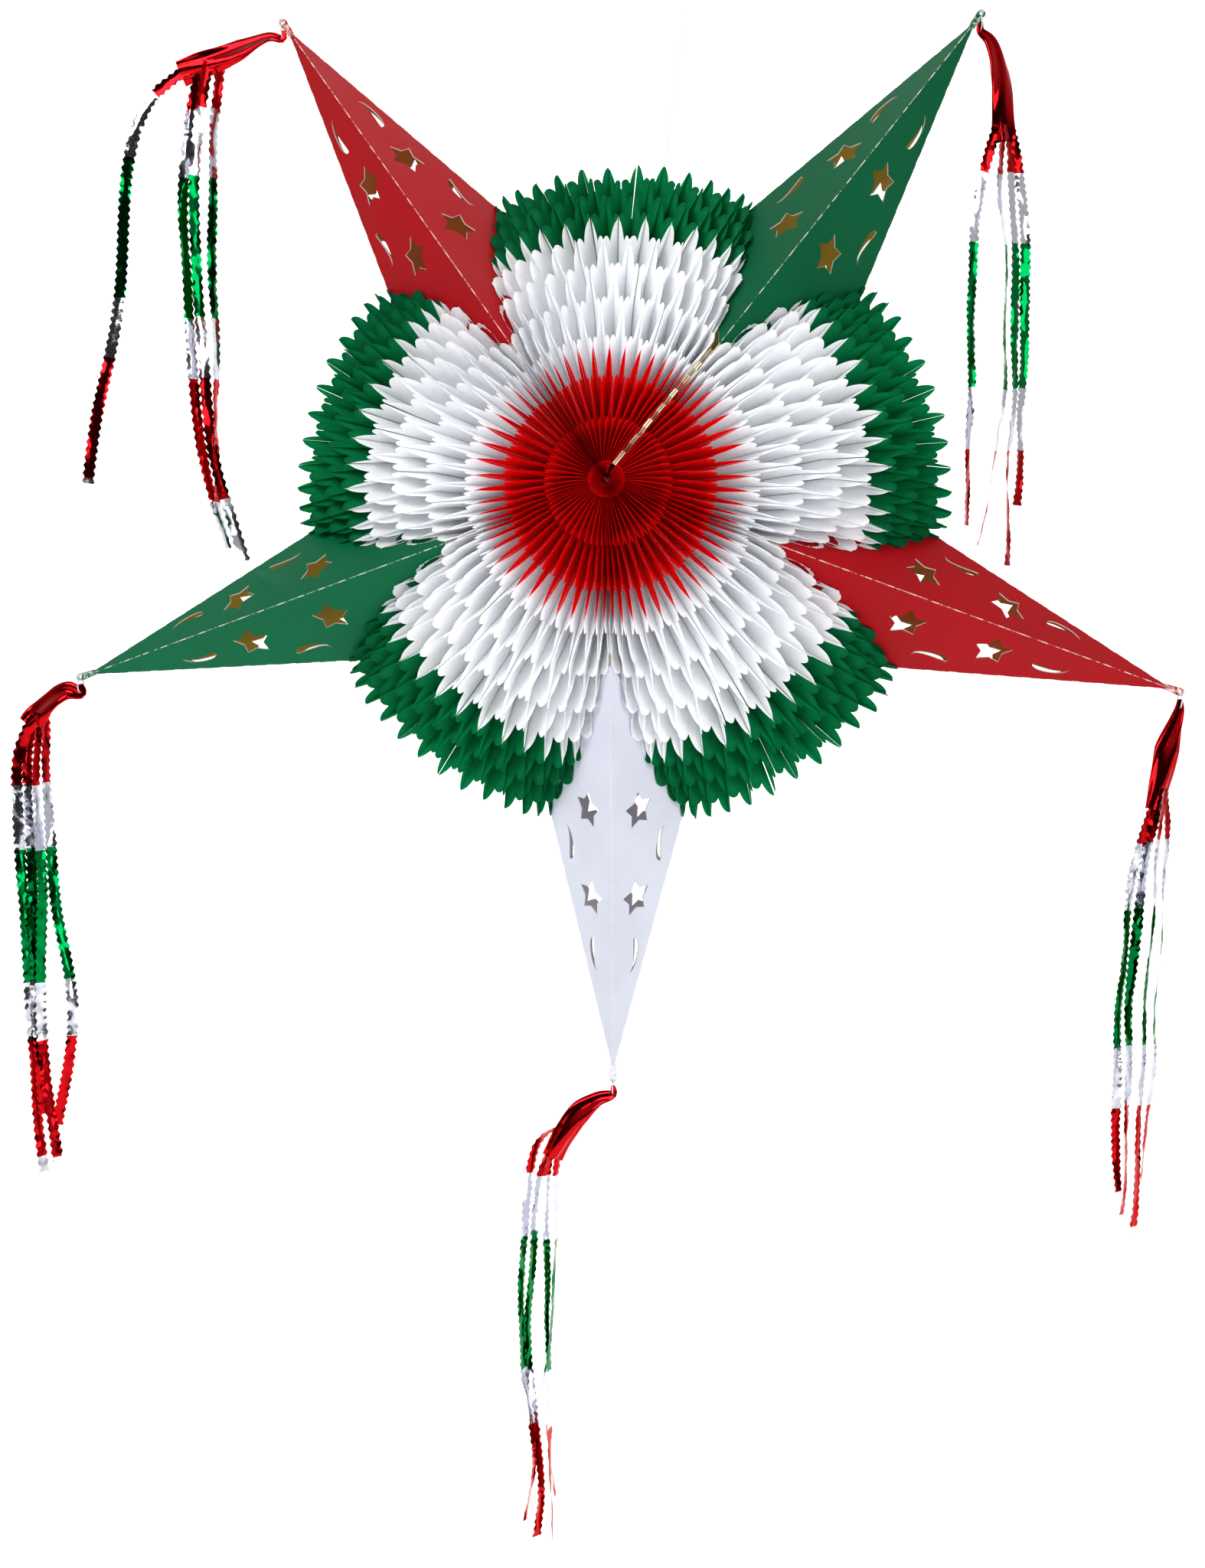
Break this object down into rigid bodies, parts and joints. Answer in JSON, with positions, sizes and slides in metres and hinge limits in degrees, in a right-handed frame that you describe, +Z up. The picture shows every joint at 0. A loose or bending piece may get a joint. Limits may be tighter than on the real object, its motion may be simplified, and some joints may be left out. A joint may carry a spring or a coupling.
{
  "type": "pinata",
  "caption": "Five-pointed hanging star of honeycomb tissue with printed card cones, star and moon cut-outs and film tassels; folds flat like a fan",
  "frame": {"origin": "the top of the hanging loop, where a hook holds it", "axes": "+X to the star's right seen from the front, +Y to the back along the spine cord, +Z up"},
  "size_m": [0.6605, 0.25, 0.9035],
  "materials": {
    "tissue": "honeycomb tissue paper, dyed red at the hub, then white, then green, dull",
    "red_card": "card printed satin red outside, plain cream inside",
    "green_card": "card printed satin green outside, plain cream inside",
    "white_card": "card printed satin white outside, plain cream inside",
    "cream_card": "uncoated cream board",
    "film": "metallised polyester film in bands of red, silver and green, mirror bright",
    "thread": "twisted white cotton thread",
    "wire": "thin binding wire"
  },
  "bodies": {
    "bottom_sector": {"spine_cord": "thread", "hanging_thread": "thread", "hanging_loop": "thread", "cone_bottom": "white_card", "divider_bottom": "cream_card", "binding_loops_bottom": "thread", "tip_tie_bottom": "wire", "tissue_lobe_lower_left": "tissue", "tissue_lobe_lower_right": "tissue"},
    "left_sector": {"cone_left": "green_card", "divider_left": "cream_card", "binding_loops_left": "thread", "tissue_lobe_upper_left": "tissue"},
    "upper_left_sector": {"cone_upper_left": "red_card", "divider_upper_left": "cream_card", "binding_loops_upper_left": "thread", "tissue_lobe_top": "tissue"},
    "end_sector": {"end_board": "cream_card", "binding_loops_end": "thread", "closing_tab": "cream_card"},
    "right_sector": {"cone_right": "red_card", "divider_right": "cream_card", "binding_loops_right": "thread", "tissue_lobe_upper_right": "tissue"},
    "upper_right_sector": {"cone_upper_right": "green_card", "divider_upper_right": "cream_card", "binding_loops_upper_right": "thread", "mating_board": "cream_card"},
    "tassel_bottom": {"tassel_header_bottom": "film", "tassel_strips_bottom": "film"},
    "tie_left": {"tip_tie_left": "wire"},
    "tassel_left": {"tassel_header_left": "film", "tassel_strips_left": "film"},
    "tie_upper_left": {"tip_tie_upper_left": "wire"},
    "tassel_upper_left": {"tassel_header_upper_left": "film", "tassel_strips_upper_left": "film"},
    "tie_right": {"tip_tie_right": "wire"},
    "tassel_right": {"tassel_header_right": "film", "tassel_strips_right": "film"},
    "tie_upper_right": {"tip_tie_upper_right": "wire"},
    "tassel_upper_right": {"tassel_header_upper_right": "film", "tassel_strips_upper_right": "film"}
  },
  "joints": [
    {"name": "fan_fold", "type": "hinge", "parent": "bottom_sector", "child": "left_sector", "pos_m": [-0.03541, 0, -0.30143], "axis": [0, -1, 0], "range_deg": [0, 36], "deforming": ["tissue_lobe_lower_left", "tissue_lobe_lower_right", "hanging_thread"]},
    {"name": "fold_upper_left", "type": "hinge", "parent": "left_sector", "child": "upper_left_sector", "pos_m": [-0.03541, 0, -0.30143], "axis": [0, -1, 0], "range_deg": [0, 36], "deforming": ["tissue_lobe_upper_left"]},
    {"name": "fold_end_board", "type": "hinge", "parent": "upper_left_sector", "child": "end_sector", "pos_m": [-0.03541, 0, -0.30143], "axis": [0, -1, 0], "range_deg": [0, 36], "deforming": ["tissue_lobe_top"]},
    {"name": "fold_right", "type": "hinge", "parent": "bottom_sector", "child": "right_sector", "pos_m": [-0.03541, 0, -0.30143], "axis": [0, 1, 0], "range_deg": [0, 36]},
    {"name": "fold_upper_right", "type": "hinge", "parent": "right_sector", "child": "upper_right_sector", "pos_m": [-0.03541, 0, -0.30143], "axis": [0, 1, 0], "range_deg": [0, 36], "deforming": ["tissue_lobe_upper_right"]},
    {"name": "tie_turn_left", "type": "hinge", "parent": "left_sector", "child": "tie_left", "pos_m": [-0.34393, 0, -0.40167], "axis": [0, 1, 0], "range_deg": [0, 36]},
    {"name": "tie_turn_upper_left", "type": "hinge", "parent": "upper_left_sector", "child": "tie_upper_left", "pos_m": [-0.22609, 0, -0.03898], "axis": [0, 1, 0], "range_deg": [0, 72]},
    {"name": "tie_turn_right", "type": "hinge", "parent": "right_sector", "child": "tie_right", "pos_m": [0.27311, 0, -0.40167], "axis": [0, -1, 0], "range_deg": [0, 36]},
    {"name": "tie_turn_upper_right", "type": "hinge", "parent": "upper_right_sector", "child": "tie_upper_right", "pos_m": [0.15527, 0, -0.03898], "axis": [0, -1, 0], "range_deg": [0, 72]},
    {"name": "tassel_swing_bottom", "type": "hinge", "parent": "bottom_sector", "child": "tassel_bottom", "pos_m": [-0.03541, 0, -0.63483], "axis": [0, -1, 0], "range_deg": [-30, 30], "deforming": ["tassel_header_bottom", "tassel_strips_bottom"]},
    {"name": "tassel_swing_left", "type": "hinge", "parent": "tie_left", "child": "tassel_left", "pos_m": [-0.34393, 0, -0.41067], "axis": [0, -1, 0], "range_deg": [-30, 12], "deforming": ["tassel_header_left", "tassel_strips_left"]},
    {"name": "tassel_swing_upper_left", "type": "hinge", "parent": "tie_upper_left", "child": "tassel_upper_left", "pos_m": [-0.22609, 0, -0.04798], "axis": [0, -1, 0], "range_deg": [-30, 10], "deforming": ["tassel_header_upper_left", "tassel_strips_upper_left"]},
    {"name": "tassel_swing_right", "type": "hinge", "parent": "tie_right", "child": "tassel_right", "pos_m": [0.27311, 0, -0.41067], "axis": [0, -1, 0], "range_deg": [-12, 30], "deforming": ["tassel_header_right", "tassel_strips_right"]},
    {"name": "tassel_swing_upper_right", "type": "hinge", "parent": "tie_upper_right", "child": "tassel_upper_right", "pos_m": [0.15527, 0, -0.04798], "axis": [0, -1, 0], "range_deg": [-10, 30], "deforming": ["tassel_header_upper_right", "tassel_strips_upper_right"]}
  ],
  "couplings": [
    {"joint": "fold_upper_left", "follows": "fan_fold", "ratio": 1},
    {"joint": "fold_end_board", "follows": "fan_fold", "ratio": 1},
    {"joint": "fold_right", "follows": "fan_fold", "ratio": 1},
    {"joint": "fold_upper_right", "follows": "fan_fold", "ratio": 1},
    {"joint": "tie_turn_left", "follows": "fan_fold", "ratio": 1},
    {"joint": "tie_turn_upper_left", "follows": "fan_fold", "ratio": 2},
    {"joint": "tie_turn_right", "follows": "fan_fold", "ratio": 1},
    {"joint": "tie_turn_upper_right", "follows": "fan_fold", "ratio": 2}
  ]
}
